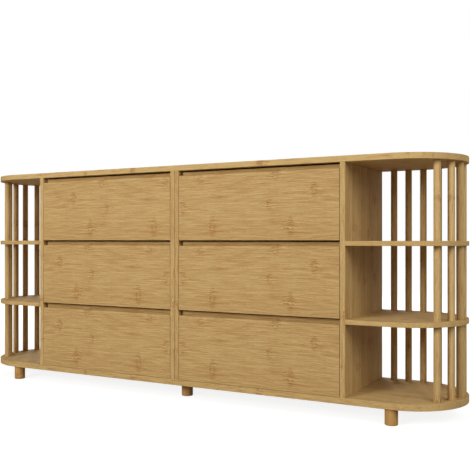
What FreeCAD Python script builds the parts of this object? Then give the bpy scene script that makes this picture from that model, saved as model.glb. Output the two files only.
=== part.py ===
import FreeCAD, Part
import Sketcher
import math
import os
import re

# A sideboard of two mirrored modules. Each has a column of drawers and a half-round shelf end.
# The origin is on the floor under the middle of the seam. The front faces -Y, and Z is up.

# Driving dimensions in millimetres, and one angle in degrees.
# Names that end in share or shares are parts of another size.
SIZES = {
    # Boards and panels of the carcass
    "board_depth": 365,
    "base_thickness": 19,
    "top_thickness": 18,
    "board_edge_round": 1,
    "panel_thickness": 16,
    "panel_setback": 2,
    "end_straight": 128.5,
    "back_thickness": 6,
    "back_inset": 8,
    "back_groove_share": 0.3,
    # Shelves of the half-round ends
    "shelf_thickness": 14,
    "shelf_edge_round": 1.5,
    # Round bars of the half-round ends
    "bar_diameter": 21,
    "bar_back_inset": 27.8,
    "bar_end_inset": 18.3,
    "bar_ring_shift": 5,
    "bar_turn_degrees": 19.53,
    "mortise_share": 0.45,
    # Feet and their studs
    "foot_height": 48,
    "foot_diameter": 38,
    "foot_edge_round": 2,
    "foot_inset": 27.5,
    "centre_foot_inset": 80,
    "stud_diameter": 8,
    "stud_in_foot": 20,
    "stud_share": 0.45,
    "centre_stud_share": 0.24,
    # Dowels
    "dowel_diameter": 8,
    "dowel_in_panel": 16,
    "dowel_in_shelf": 16,
    "panel_dowel_share": 0.6,
    # Connectors of the two inner panels
    "connector_head_diameter": 15,
    "connector_head": 2.5,
    "connector_sleeve_diameter": 8,
    "connector_bolt_diameter": 5,
    # Drawers
    "drawer_opening": 557,
    "drawer_reveal": 2,
    "face_height": 210,
    "face_thickness": 20,
    "face_side_gap": 1.4,
    "face_floor_gap": 1,
    "finger_gap": 18,
    "finger_groove_height": 24,
    "lip_thickness": 7,
    "box_front_thickness": 14,
    "box_front_rise_share": 0.75,
    "box_lift": 8,
    "side_drop": 22,
    "side_thickness": 15,
    "box_back_thickness": 12,
    "box_back_inset": 6,
    "bottom_thickness": 6,
    "bottom_lift": 8,
    "housing_share": 0.33,
    "drawer_back_gap": 20,
    # Drawer runners
    "runner_height": 16,
    "runner_housing_share": 0.25,
    "runner_groove_share": 0.5,
    "runner_level_share": 0.5,
    # Fits
    "glue_gap": 0.1,
    "running_gap": 0.3,
    "runner_end_gap": 1,
    "cut_overrun": 5,
}

ROWS = ("lower", "middle", "upper")
SHELVES = ("lower", "upper")
BACK_BARS = 3
END_BARS = 7
DOWEL_PLACE_SHARES = (0.12, 0.5, 0.86)
CONNECTOR_PLACE_SHARES = (0.2, 0.8)

# An edge counts as level or square when it strays by less than this part of its length
STRAY_SHARE = 0.001

# Places that several pieces share, as sums of the sizes above
FRONT = "(-board_depth / 2)"
BACK = "(board_depth / 2)"
BASE_TOP = "(foot_height + base_thickness)"
ROW_PITCH = "(face_height + finger_gap)"
TOP_LOW = f"({BASE_TOP} + face_floor_gap + {len(ROWS)} * {ROW_PITCH})"
TOP_HIGH = f"({TOP_LOW} + top_thickness)"
BAY_INNER = "panel_thickness"
BAY_OUTER = "(panel_thickness + drawer_opening)"
CORE_END = "(2 * panel_thickness + drawer_opening)"
ARC_X = f"({CORE_END} + end_straight)"
PANEL_BACK = f"({BACK} - panel_setback)"
BACK_OUTER = f"({PANEL_BACK} - back_inset)"
BACK_INNER = f"({BACK_OUTER} - back_thickness)"
FACE_BACK = f"({FRONT} + face_thickness)"
BOX_FRONT_BACK = f"({FACE_BACK} + box_front_thickness)"
BOX_END = f"({BACK_INNER} - drawer_back_gap)"
RUNNER_GROOVE = "(side_thickness * runner_groove_share)"
BASE_MORTISE = f"({BASE_TOP} - base_thickness * mortise_share)"
TOP_MORTISE = f"({TOP_LOW} + top_thickness * mortise_share)"

doc = FreeCAD.newDocument("sideboard")
sheet = doc.addObject("Spreadsheet::Sheet", "Sizes")
nodes = []


def fill_sheet():
    """Write each driving dimension to a cell with its name as the alias."""
    for row, (alias, value) in enumerate(SIZES.items(), start=1):
        sheet.set(f"A{row}", alias)
        sheet.set(f"B{row}", str(value))
        sheet.setAlias(f"B{row}", alias)
    doc.recompute()


def in_cells(expression):
    """Point each size that an expression names at its cell."""
    words = {word for word in re.findall(r"[a-z_]+", expression) if word in SIZES}
    pattern = r"\b(" + "|".join(sorted(words)) + r")\b"
    return re.sub(pattern, r"Sizes.\1", expression) if words else expression


def bind(made, prop, expression):
    """Bind one property of an object to the sheet."""
    made.setExpression(prop, in_cells(expression))


def value_of(expression):
    """The present value of an expression of named sizes, in millimetres."""
    result = sheet.evalExpression(in_cells(expression))
    return float(getattr(result, "Value", result))


def bind_place(made, x, y, z):
    """Bind the place of an object's own origin."""
    for axis, place in zip("xyz", (x, y, z)):
        bind(made, f"Placement.Base.{axis}", place)


def block(name, x, y, z):
    """A box between a low and a high place on each axis."""
    made = doc.addObject("Part::Box", name)
    for side, (low, high) in zip(("Length", "Width", "Height"), (x, y, z)):
        bind(made, side, f"({high}) - ({low})")
    bind_place(made, x[0], y[0], z[0])
    return made


def upright_rod(name, diameter, x, y, z):
    """A round bar that stands between two heights."""
    made = doc.addObject("Part::Cylinder", name)
    bind(made, "Radius", f"({diameter}) / 2")
    bind(made, "Height", f"({z[1]}) - ({z[0]})")
    bind_place(made, x, y, z[0])
    return made


def level_rod(name, diameter, x, y, z):
    """A round bar that lies along X between two places."""
    made = doc.addObject("Part::Cylinder", name)
    made.Placement.Rotation = FreeCAD.Rotation(FreeCAD.Vector(0, 1, 0), 90)
    bind(made, "Radius", f"({diameter}) / 2")
    bind(made, "Height", f"({x[1]}) - ({x[0]})")
    bind_place(made, x[0], y, z)
    return made


def fuse(name, pieces):
    """Several shapes joined into one."""
    made = doc.addObject("Part::MultiFuse", name)
    made.Shapes = pieces
    return made


def cut(name, base, tools):
    """A shape with holes, grooves or housings taken out of it."""
    made = doc.addObject("Part::Cut", name)
    made.Base = base
    made.Tool = tools[0] if len(tools) == 1 else fuse(f"{name}_cutters", tools)
    return made


def group(name, pieces):
    """Like pieces that stay separate solids in one node."""
    made = doc.addObject("Part::Compound", name)
    made.Links = pieces
    return made


def node(made, label):
    """Give a finished piece the label that names its file."""
    made.Label = label
    nodes.append(made)
    return made


def mirrored(right, name):
    """The mirror image, in the left module, of a piece of the right one."""
    made = doc.addObject("Part::Mirroring", name)
    made.Source = right
    made.Normal = FreeCAD.Vector(1, 0, 0)
    return made


def pair(made, label):
    """A piece of the right module and its mirror image in the left one, as two nodes."""
    left_label = label.replace("right_", "left_", 1)
    node(made, label)
    node(mirrored(made, left_label), left_label)


def in_both_modules(name, pieces):
    """Like small pieces of both modules as one node."""
    right = group(f"right_{name}", pieces)
    node(group(name, [right, mirrored(right, f"left_{name}")]), name)


# Half-round boards and shelves

def on_ground_plane(body, name):
    """A sketch on the body's own XY plane."""
    sketch = body.newObject("Sketcher::SketchObject", name)
    ground = [plane for plane in body.Origin.OriginFeatures if plane.Role == "XY_Plane"][0]
    sketch.AttachmentSupport = (ground, [""])
    sketch.MapMode = "FlatFace"
    return sketch


def constrain(sketch, name, expression, *geometry):
    """Add a named dimension to a sketch and bind it to the sheet."""
    kind, *places = geometry
    index = sketch.addConstraint(Sketcher.Constraint(kind, *places, value_of(expression)))
    sketch.renameConstraint(index, name)
    bind(sketch, f"Constraints.{name}", expression)


def half_round_outline(body, name, straight):
    """Square at X = 0, with two straight edges that run into a half circle."""
    sketch = on_ground_plane(body, name)
    reach = value_of(straight)
    radius = value_of("board_depth / 2")
    corners = [(0, -radius), (reach, -radius), (reach, radius), (0, radius)]
    points = [FreeCAD.Vector(x, y, 0) for x, y in corners]
    circle = Part.Circle(FreeCAD.Vector(reach, 0, 0), FreeCAD.Vector(0, 0, 1), radius)
    front = sketch.addGeometry(Part.LineSegment(points[0], points[1]))
    end = sketch.addGeometry(Part.ArcOfCircle(circle, -math.pi / 2, math.pi / 2))
    back = sketch.addGeometry(Part.LineSegment(points[2], points[3]))
    inner = sketch.addGeometry(Part.LineSegment(points[3], points[0]))
    sketch.addConstraint([
        Sketcher.Constraint("Tangent", front, 2, end, 1),
        Sketcher.Constraint("Tangent", end, 2, back, 1),
        Sketcher.Constraint("Coincident", back, 2, inner, 1),
        Sketcher.Constraint("Coincident", inner, 2, front, 1),
        Sketcher.Constraint("Horizontal", front),
        Sketcher.Constraint("Horizontal", back),
        Sketcher.Constraint("PointOnObject", inner, 1, -2),
        Sketcher.Constraint("Symmetric", inner, 1, inner, 2, -1),
    ])
    constrain(sketch, "straight", straight, "DistanceX", front, 1, front, 2)
    constrain(sketch, "end_radius", "board_depth / 2", "Radius", end)
    return sketch


def padded(body, sketch, thickness):
    """The sketch drawn up to a solid."""
    pad = body.newObject("PartDesign::Pad", f"{body.Name}_pad")
    pad.Profile = sketch
    bind(pad, "Length", thickness)
    doc.recompute()
    return pad


def rounded(body, pad, radius, keeps_sharp):
    """Round the level edges of a pad, apart from those that are to stay sharp."""
    names = []
    for index, edge in enumerate(pad.Shape.Edges, start=1):
        box = edge.BoundBox
        level = box.ZLength < box.DiagonalLength * STRAY_SHARE
        if level and not keeps_sharp(box):
            names.append(f"Edge{index}")
    fillet = body.newObject("PartDesign::Fillet", f"{body.Name}_rounding")
    fillet.Base = (pad, names)
    bind(fillet, "Radius", radius)
    return fillet


def half_round_board(name, inner_x, low, thickness, radius):
    """A board or shelf of the right module, rounded along its edge but square where it abuts."""
    body = doc.addObject("PartDesign::Body", name)
    outline = half_round_outline(body, f"{name}_outline", f"{ARC_X} - {inner_x}")
    pad = padded(body, outline, thickness)
    rounded(body, pad, radius, lambda box: box.XLength < box.YLength * STRAY_SHARE)
    bind_place(body, inner_x, "0", low)
    return body


def bar_places():
    """Axes of the round bars: along the back, then round the end towards the front."""
    run = "(end_straight + bar_back_inset + bar_ring_shift - bar_end_inset)"
    radius = "(board_depth / 2 - bar_back_inset - bar_ring_shift)"
    places = []
    for count in range(1, BACK_BARS + 1):
        places.append((f"{CORE_END} + {run} * {count} / {BACK_BARS}", f"bar_ring_shift + {radius}"))
    for count in range(1, END_BARS + 1):
        turn = f"({count} * bar_turn_degrees)"
        x = f"{CORE_END} + {run} + {radius} * sin({turn})"
        places.append((x, f"bar_ring_shift + {radius} * cos({turn})"))
    return places


def bars(name, diameter, z):
    """One upright rod at each place of the round bars."""
    return [upright_rod(f"{name}_{index}", diameter, x, y, z)
            for index, (x, y) in enumerate(bar_places())]


def bar_holes(name, low, high):
    """Holes or mortises for the round bars."""
    return bars(name, "bar_diameter + 2 * glue_gap", (low, high))


def panel_dowels(name, diameter, low, high):
    """Upright rods between the two panels of a module and one of its boards."""
    made = []
    middles = {"inner": "panel_thickness / 2", "outer": f"{BAY_OUTER} + panel_thickness / 2"}
    for side, middle in middles.items():
        for index, share in enumerate(DOWEL_PLACE_SHARES):
            y = f"{FRONT} + (board_depth - panel_setback) * {share}"
            made.append(upright_rod(f"{name}_{side}_{index}", diameter, middle, y, (low, high)))
    return made


def shelf_top(row):
    """Upper face of a shelf: it lines up with the gap between two drawers."""
    return f"({face_low(row)} - drawer_reveal)"


def shelf_dowels(name, diameter, row, x):
    """Level rods between a shelf and the outer panel."""
    z = f"{shelf_top(row)} - shelf_thickness / 2"
    return [level_rod(f"{name}_{index}", diameter, x, f"{FRONT} + board_depth * {share}", z)
            for index, share in enumerate(DOWEL_PLACE_SHARES)]


HOLE_FOR_DOWEL = "dowel_diameter + 2 * glue_gap"
HOLE_FOR_STUD = "stud_diameter + 2 * glue_gap"
BASE_DOWEL = (BASE_MORTISE, f"{BASE_TOP} + dowel_in_panel")
TOP_DOWEL = (f"{TOP_LOW} - dowel_in_panel", TOP_MORTISE)
SHELF_DOWEL = (f"{CORE_END} - panel_thickness * panel_dowel_share", f"{CORE_END} + dowel_in_shelf")
STUD = ("foot_height - stud_in_foot", "foot_height + base_thickness * stud_share")


def stud_places():
    """Axes of the studs in the right module: one in each end foot, one in each centre foot."""
    end_y = "(board_depth / 2 - foot_inset)"
    centre_y = "(board_depth / 2 - centre_foot_inset)"
    centre_x = "(foot_diameter * centre_stud_share)"
    return [(ARC_X, f"-{end_y}"), (ARC_X, end_y), (centre_x, f"-{centre_y}"), (centre_x, centre_y)]


def studs(name, diameter):
    """Upright rods between the feet and the base board."""
    return [upright_rod(f"{name}_{index}", diameter, x, y, STUD)
            for index, (x, y) in enumerate(stud_places())]


def base_board():
    """The base board stands on the feet and carries panels and bars."""
    board = half_round_board("base_body", "0", "foot_height", "base_thickness", "board_edge_round")
    holes = bar_holes("base_mortise", BASE_MORTISE, f"{BASE_TOP} + cut_overrun")
    holes += panel_dowels("base_dowel_hole", HOLE_FOR_DOWEL, *BASE_DOWEL)
    holes += studs("base_stud_hole", HOLE_FOR_STUD)
    pair(cut("base_board", board, holes), "right_base_board")


def top_board():
    """The top board lies on the panels and bars."""
    board = half_round_board("top_body", "0", TOP_LOW, "top_thickness", "board_edge_round")
    holes = bar_holes("top_mortise", f"{TOP_LOW} - cut_overrun", TOP_MORTISE)
    holes += panel_dowels("top_dowel_hole", HOLE_FOR_DOWEL, *TOP_DOWEL)
    pair(cut("top_board", board, holes), "right_top_board")


def shelves():
    """Two shelves in each end, threaded on the bars and dowelled to the outer panel."""
    for row, level in enumerate(SHELVES, start=1):
        name = f"{level}_shelf"
        low = f"({shelf_top(row)} - shelf_thickness)"
        high = shelf_top(row)
        board = half_round_board(f"{name}_body", CORE_END, low, "shelf_thickness", "shelf_edge_round")
        holes = bar_holes(f"{name}_hole", f"{low} - cut_overrun", f"{high} + cut_overrun")
        holes += shelf_dowels(f"{name}_dowel_hole", HOLE_FOR_DOWEL, row, SHELF_DOWEL)
        pair(cut(name, board, holes), f"right_{name}")


def round_bars():
    """The bars of each end stand in the base board and reach into the top board."""
    pair(group("bars", bars("bar", "bar_diameter", (BASE_MORTISE, TOP_MORTISE))), "right_round_bars")


# Side panels, back panel and what joins them

def face_low(row):
    """Lower edge of a drawer front."""
    return f"({BASE_TOP} + face_floor_gap + {row} * {ROW_PITCH})"


def box_low(row):
    """Lower edge of a drawer box."""
    return f"({face_low(row)} + box_lift)"


def side_high(row):
    """Upper edge of a drawer's sides and back."""
    return f"({face_low(row)} + face_height - side_drop)"


def runner_low(row):
    """Lower face of a drawer runner."""
    side_height = "(face_height - side_drop - box_lift)"
    return f"({box_low(row)} + {side_height} * runner_level_share - runner_height / 2)"


def runner_blocks(name, side, slack):
    """The runners on one panel of the right module, or with some slack their housings."""
    housing = "panel_thickness * runner_housing_share"
    reach = f"(drawer_reveal + {RUNNER_GROOVE} - runner_end_gap)"
    spans = {
        "inner": (f"{BAY_INNER} - {housing}", f"{BAY_INNER} + {reach}"),
        "outer": (f"{BAY_OUTER} - {reach}", f"{BAY_OUTER} + {housing}"),
    }
    y = (f"{BOX_FRONT_BACK} + running_gap", BOX_END)
    made = []
    for row, level in enumerate(ROWS):
        low = runner_low(row)
        z = (f"{low} - {slack}", f"{low} + runner_height + {slack}")
        made.append(block(f"{name}_{side}_{level}", spans[side], y, z))
    return made


def drawer_runners():
    """Wooden runners, let into the panels, that the drawers slide on."""
    made = runner_blocks("runner", "inner", "0") + runner_blocks("runner", "outer", "0")
    pair(group("runners", made), "right_drawer_runners")


def back_groove(name, x):
    """Groove in a side panel for the edge of the back panel."""
    y = (f"{BACK_INNER} - glue_gap", f"{BACK_OUTER} + glue_gap")
    return block(name, x, y, (f"{BASE_TOP} - cut_overrun", f"{TOP_LOW} + cut_overrun"))


def connector_places():
    """Depth and height of the connectors, between the drawers' runners."""
    places = []
    for row in range(1, len(ROWS)):
        for share in CONNECTOR_PLACE_SHARES:
            y = f"{FRONT} + (board_depth - panel_setback) * {share}"
            places.append((y, f"{shelf_top(row)} - finger_gap"))
    return places


def connector_rods(name, diameter, x):
    """Level rods at the places of the connectors."""
    return [level_rod(f"{name}_{index}", diameter, x, y, z)
            for index, (y, z) in enumerate(connector_places())]


def inner_panel():
    """The panel at the seam."""
    z = (BASE_TOP, TOP_LOW)
    panel = block("inner_panel_blank", ("0", BAY_INNER), (FRONT, PANEL_BACK), z)
    past_face = f"{BAY_INNER} + cut_overrun"
    groove_depth = "panel_thickness * back_groove_share"
    holes = [back_groove("inner_back_groove", (f"{BAY_INNER} - {groove_depth}", past_face))]
    holes += runner_blocks("inner_housing", "inner", "glue_gap")
    sleeve = "connector_sleeve_diameter + 2 * glue_gap"
    head = "connector_head_diameter + 2 * glue_gap"
    holes += connector_rods("connector_hole", sleeve, ("-cut_overrun", BAY_INNER))
    holes += connector_rods("connector_sink", head, (f"{BAY_INNER} - connector_head", past_face))
    holes += panel_holes("inner_panel")
    pair(cut("inner_panel", panel, holes), "right_inner_panel")


def outer_panel():
    """The panel between the drawers and the half-round end."""
    z = (BASE_TOP, TOP_LOW)
    panel = block("outer_panel_blank", (BAY_OUTER, CORE_END), (FRONT, PANEL_BACK), z)
    groove_depth = "panel_thickness * back_groove_share"
    groove_x = (f"{BAY_OUTER} - cut_overrun", f"{BAY_OUTER} + {groove_depth}")
    holes = [back_groove("outer_back_groove", groove_x)]
    holes += runner_blocks("outer_housing", "outer", "glue_gap")
    for row, level in enumerate(SHELVES, start=1):
        holes += shelf_dowels(f"panel_{level}_dowel_hole", HOLE_FOR_DOWEL, row, SHELF_DOWEL)
    holes += panel_holes("outer_panel")
    pair(cut("outer_panel", panel, holes), "right_outer_panel")


def panel_holes(name):
    """Dowel holes in the upper and lower ends of both panels of a module."""
    return (panel_dowels(f"{name}_low_hole", HOLE_FOR_DOWEL, *BASE_DOWEL)
            + panel_dowels(f"{name}_high_hole", HOLE_FOR_DOWEL, *TOP_DOWEL))


def back_panel():
    """The thin back of a drawer column, held in grooves in the side panels."""
    tongue = "(panel_thickness * back_groove_share - glue_gap)"
    x = (f"{BAY_INNER} - {tongue}", f"{BAY_OUTER} + {tongue}")
    made = block("back_panel", x, (BACK_INNER, BACK_OUTER), (BASE_TOP, f"{TOP_LOW} - running_gap"))
    pair(made, "right_back_panel")


def dowels():
    """All the dowels of both modules."""
    low = panel_dowels("low_dowel", "dowel_diameter", *BASE_DOWEL)
    high = panel_dowels("high_dowel", "dowel_diameter", *TOP_DOWEL)
    in_both_modules("panel_dowels", low + high)
    level = []
    for row, name in enumerate(SHELVES, start=1):
        level += shelf_dowels(f"{name}_dowel", "dowel_diameter", row, SHELF_DOWEL)
    in_both_modules("shelf_dowels", level)


def seam_connectors():
    """A headed sleeve from the right and a headed bolt from the left draw the modules together."""
    made = []
    shoulder = f"({BAY_INNER} - connector_head)"
    bore = "connector_bolt_diameter + 2 * glue_gap"
    heads = connector_rods("sleeve_head", "connector_head_diameter", (shoulder, BAY_INNER))
    tube = (f"-{shoulder} + glue_gap", shoulder)
    tubes = connector_rods("sleeve_tube", "connector_sleeve_diameter", tube)
    bores = connector_rods("sleeve_bore", bore, (f"-{BAY_INNER}", f"{shoulder} - connector_head"))
    for index, pieces in enumerate(zip(heads, tubes)):
        made.append(cut(f"sleeve_{index}", fuse(f"sleeve_blank_{index}", list(pieces)), [bores[index]]))
    caps = connector_rods("bolt_head", "connector_head_diameter", (f"-{BAY_INNER}", f"-{shoulder}"))
    shanks = connector_rods("bolt_shank", "connector_bolt_diameter", (f"-{shoulder}", "0"))
    for index, pieces in enumerate(zip(caps, shanks)):
        made.append(fuse(f"bolt_{index}", list(pieces)))
    node(group("connectors", made), "seam_connectors")


# Feet

def turned_foot(name, x, y):
    """A short round foot with a rounded lower edge."""
    body = doc.addObject("PartDesign::Body", name)
    sketch = on_ground_plane(body, f"{name}_outline")
    radius = value_of("foot_diameter / 2")
    circle = sketch.addGeometry(Part.Circle(FreeCAD.Vector(0, 0, 0), FreeCAD.Vector(0, 0, 1), radius))
    sketch.addConstraint(Sketcher.Constraint("Coincident", circle, 3, -1, 1))
    constrain(sketch, "foot_radius", "foot_diameter / 2", "Radius", circle)
    pad = padded(body, sketch, "foot_height")
    half = pad.Shape.BoundBox.Center.z
    rounded(body, pad, "foot_edge_round", lambda box: box.ZMin > half)
    bind_place(body, x, y, "0")
    return body


def feet():
    """An end foot at each corner and two centre feet that bridge the seam."""
    places = stud_places()
    stud_holes = studs("foot_stud_hole", HOLE_FOR_STUD)
    for index, end in enumerate(("front", "rear")):
        x, y = places[index]
        foot = turned_foot(f"end_{end}_foot_body", x, y)
        pair(cut(f"end_{end}_foot", foot, [stud_holes[index]]), f"right_{end}_foot")
    for index, end in enumerate(("front", "rear"), start=2):
        x, y = places[index]
        foot = turned_foot(f"centre_{end}_foot_body", "0", y)
        left_hole = upright_rod(f"left_{end}_stud_hole", HOLE_FOR_STUD, f"-{x}", y, STUD)
        node(cut(f"centre_{end}_foot", foot, [stud_holes[index], left_hole]), f"centre_{end}_foot")
    in_both_modules("foot_studs", studs("stud", "stud_diameter"))


# Drawers

def drawer(row, level):
    """A drawer of the right module: front, box front, two sides, back and bottom."""
    name = f"{level}_drawer"
    low = f"({BAY_INNER} + drawer_reveal)"
    high = f"({BAY_OUTER} - drawer_reveal)"
    drawer_front(name, row)
    drawer_box_front(name, row, low, high)
    drawer_sides(name, row, low, high)
    drawer_back_and_bottom(name, row, low, high)


def drawer_front(name, row):
    """The front, a little wider than its box, with a finger groove behind a lip along its upper edge."""
    low = f"({BAY_INNER} + face_side_gap)"
    high = f"({BAY_OUTER} - face_side_gap)"
    top = f"({face_low(row)} + face_height)"
    blank = block(f"{name}_front_blank", (low, high), (FRONT, FACE_BACK), (face_low(row), top))
    groove = block(
        f"{name}_finger_groove",
        (f"{low} - cut_overrun", f"{high} + cut_overrun"),
        (f"{FRONT} + lip_thickness", f"{FACE_BACK} + cut_overrun"),
        (f"{top} - finger_groove_height", f"{top} + cut_overrun"),
    )
    pair(cut(f"{name}_front", blank, [groove]), f"right_{name}_front")


def drawer_box_front(name, row, low, high):
    """The board behind the front. It rises into the finger gap and takes the sides in housings."""
    top = f"{face_low(row)} + face_height + finger_gap * box_front_rise_share"
    blank = block(f"{name}_box_front_blank", (low, high), (FACE_BACK, BOX_FRONT_BACK), (box_low(row), top))
    y = (f"{BOX_FRONT_BACK} - box_front_thickness * housing_share", f"{BOX_FRONT_BACK} + cut_overrun")
    z = (f"{box_low(row)} - cut_overrun", f"{side_high(row)} + glue_gap")
    width = "(side_thickness + glue_gap)"
    left = block(f"{name}_left_housing", (f"{low} - cut_overrun", f"{low} + {width}"), y, z)
    right = block(f"{name}_right_housing", (f"{high} - {width}", f"{high} + cut_overrun"), y, z)
    groove = bottom_groove(f"{name}_front_groove", row, (low, high), y)
    pair(cut(f"{name}_box_front", blank, [left, right, groove]), f"right_{name}_box_front")


def bottom_low(row):
    """Lower face of a drawer bottom."""
    return f"({box_low(row)} + bottom_lift)"


def bottom_groove(name, row, x, y):
    """Groove for an edge of a drawer bottom."""
    return block(name, x, y, (bottom_low(row), f"{bottom_low(row)} + bottom_thickness + glue_gap"))


def back_span():
    """Front and rear faces of a drawer's back."""
    rear = f"({BOX_END} - box_back_inset)"
    return (f"{rear} - box_back_thickness", rear)


def drawer_sides(name, row, low, high):
    """The two sides, each grooved for its runner and the bottom and housed for the back."""
    start = f"({BOX_FRONT_BACK} - box_front_thickness * housing_share)"
    y = (start, BOX_END)
    through = (f"{start} - cut_overrun", f"{BOX_END} + cut_overrun")
    housing = "side_thickness * housing_share"
    runner = (f"{runner_low(row)} - running_gap", f"{runner_low(row)} + runner_height + running_gap")
    back_front, back_rear = back_span()
    back_y = (f"{back_front} - glue_gap", f"{back_rear} + glue_gap")
    back_z = (bottom_low(row), f"{side_high(row)} + cut_overrun")
    inner_low = f"({low} + side_thickness)"
    inner_high = f"({high} - side_thickness)"
    spans = {
        "left": ((low, inner_low), (f"{low} - cut_overrun", f"{low} + {RUNNER_GROOVE}"),
                 (f"{inner_low} - {housing}", f"{inner_low} + cut_overrun")),
        "right": ((inner_high, high), (f"{high} - {RUNNER_GROOVE}", f"{high} + cut_overrun"),
                  (f"{inner_high} - cut_overrun", f"{inner_high} + {housing}")),
    }
    made = []
    for side, (x, runner_x, inside_x) in spans.items():
        blank = block(f"{name}_{side}_blank", x, y, (box_low(row), side_high(row)))
        tools = [
            block(f"{name}_{side}_runner_groove", runner_x, through, runner),
            bottom_groove(f"{name}_{side}_bottom_groove", row, inside_x, through),
            block(f"{name}_{side}_back_housing", inside_x, back_y, back_z),
        ]
        made.append(cut(f"{name}_{side}_side", blank, tools))
    pair(group(f"{name}_sides", made), f"right_{name}_sides")


def drawer_back_and_bottom(name, row, low, high):
    """The bottom lies in the grooves, and the back stands on it in the sides' housings."""
    tongue = "(side_thickness * housing_share - glue_gap)"
    x = (f"{low} + side_thickness - {tongue}", f"{high} - side_thickness + {tongue}")
    back_front, back_rear = back_span()
    bottom_high = f"({bottom_low(row)} + bottom_thickness)"
    back = block(f"{name}_back", x, (back_front, back_rear), (bottom_high, side_high(row)))
    pair(back, f"right_{name}_back")
    bottom_front = f"{BOX_FRONT_BACK} - box_front_thickness * housing_share + glue_gap"
    bottom = block(f"{name}_bottom", x, (bottom_front, back_rear), (bottom_low(row), bottom_high))
    pair(bottom, f"right_{name}_bottom")


def build():
    """Make every piece of the sideboard."""
    fill_sheet()
    base_board()
    top_board()
    inner_panel()
    outer_panel()
    back_panel()
    shelves()
    round_bars()
    dowels()
    seam_connectors()
    feet()
    drawer_runners()
    for row, level in enumerate(ROWS):
        drawer(row, level)
    doc.recompute()


def check():
    """Stop if any object failed or any piece is not a sound solid."""
    for made in doc.Objects:
        if {"Invalid", "Error"} & set(made.State):
            raise RuntimeError(f"{made.Label} failed: {made.State}")
    for made in nodes:
        if made.Shape.isNull() or not made.Shape.isValid() or not made.Shape.Solids:
            raise RuntimeError(f"{made.Label} is not a sound solid")


def export():
    """Write each piece to its own file."""
    os.makedirs("parts", exist_ok=True)
    for made in nodes:
        made.Shape.exportStep(f"parts/{made.Label}.step")
        print(made.Label, len(made.Shape.Solids), round(made.Shape.Volume))


build()
check()
export()
print(len(nodes), "pieces, overall height", value_of(TOP_HIGH))
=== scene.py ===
import math

import bmesh
import bpy
from bpy.props import FloatProperty, FloatVectorProperty, IntProperty, PointerProperty
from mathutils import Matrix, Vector


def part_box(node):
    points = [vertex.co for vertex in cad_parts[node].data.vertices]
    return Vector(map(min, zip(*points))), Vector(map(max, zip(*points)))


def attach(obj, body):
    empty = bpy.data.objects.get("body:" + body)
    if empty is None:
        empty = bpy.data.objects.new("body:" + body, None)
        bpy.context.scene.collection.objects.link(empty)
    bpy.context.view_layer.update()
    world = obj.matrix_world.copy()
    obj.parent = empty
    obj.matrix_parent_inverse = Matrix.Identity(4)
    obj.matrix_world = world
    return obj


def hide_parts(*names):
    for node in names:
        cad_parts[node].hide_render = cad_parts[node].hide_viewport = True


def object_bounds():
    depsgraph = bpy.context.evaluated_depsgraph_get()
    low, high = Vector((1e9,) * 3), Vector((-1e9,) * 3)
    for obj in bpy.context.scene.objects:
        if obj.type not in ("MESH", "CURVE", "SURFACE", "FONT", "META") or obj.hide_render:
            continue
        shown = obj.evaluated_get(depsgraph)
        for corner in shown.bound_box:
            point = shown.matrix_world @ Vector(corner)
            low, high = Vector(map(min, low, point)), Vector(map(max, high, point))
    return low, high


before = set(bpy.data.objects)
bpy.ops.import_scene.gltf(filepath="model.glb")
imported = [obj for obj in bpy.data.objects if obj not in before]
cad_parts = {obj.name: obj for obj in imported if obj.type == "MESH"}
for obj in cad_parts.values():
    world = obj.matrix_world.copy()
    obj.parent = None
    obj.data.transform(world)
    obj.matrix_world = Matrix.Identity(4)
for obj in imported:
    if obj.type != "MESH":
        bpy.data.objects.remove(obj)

bl_info = {
    "name": "Bamboo sideboard",
    "version": (1, 0, 0),
    "blender": (4, 5, 0),
    "location": "View3D > Sidebar > Sideboard",
    "description": "Dresses the frame of a sideboard with drawers and half-round shelf ends",
    "category": "Object",
}

CAD_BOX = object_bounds()
MM = 0.001
CARCASS = "carcass"
SIDES = ("left", "right")
LEVELS = ("lower", "middle", "upper")
DRAWERS = [f"{side}_{level}_drawer" for side in SIDES for level in LEVELS]


def linear(code):
    """A hex sRGB colour as linear red, green, blue and alpha."""
    channels = [int(code[place:place + 2], 16) / 255 for place in (1, 3, 5)]
    curve = [c / 12.92 if c <= 0.04045 else ((c + 0.055) / 1.055) ** 2.4 for c in channels]
    return (*curve, 1.0)


def colour(name, description, code):
    """A colour that a user would change, written as sRGB hex."""
    return FloatVectorProperty(name=name, description=description, subtype="COLOR", size=4,
                               min=0.0, max=1.0, default=linear(code))


def length(name, description, millimetres):
    """A length that a user would change, written in millimetres."""
    return FloatProperty(name=name, description=description, unit="LENGTH", min=0.0,
                         default=millimetres * MM)


def power(name, description, watts):
    """A lamp's power that a user would change, written in watts."""
    return FloatProperty(name=name, description=description, unit="POWER", min=0.0, default=watts)


class SideboardSizes(bpy.types.PropertyGroup):
    """Sizes that belong to the finish of the pieces."""

    edge_ease: length("Edge ease", "Rounding of the edges of drawer fronts", 0.4)
    panel_ease: length("Panel ease", "Rounding of the edges of the side panels", 1.0)
    panel_seam_ease: length("Panel seam ease", "Rounding of the panels where the modules meet", 3.0)
    board_seam_ease: length("Board seam ease", "Rounding of the boards where the modules meet", 1.2)
    box_ease: length("Box ease", "Rounding of the edges of drawer boxes and backs", 0.6)
    rod_ease: length("Rod ease", "Rounding at the hidden ends of the round bars", 1.5)
    foot_ease: length("Foot ease", "Rounding at the rim of the feet", 2.0)
    runner_ease: length("Runner ease", "Rounding along the drawer runners", 1.2)
    rod_sides: IntProperty(name="Rod sides", description="Faces round a bar or foot", default=40, min=8)
    strip_width: length("Strip width", "Width of the bamboo strips glued into a board", 20.0)


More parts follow.
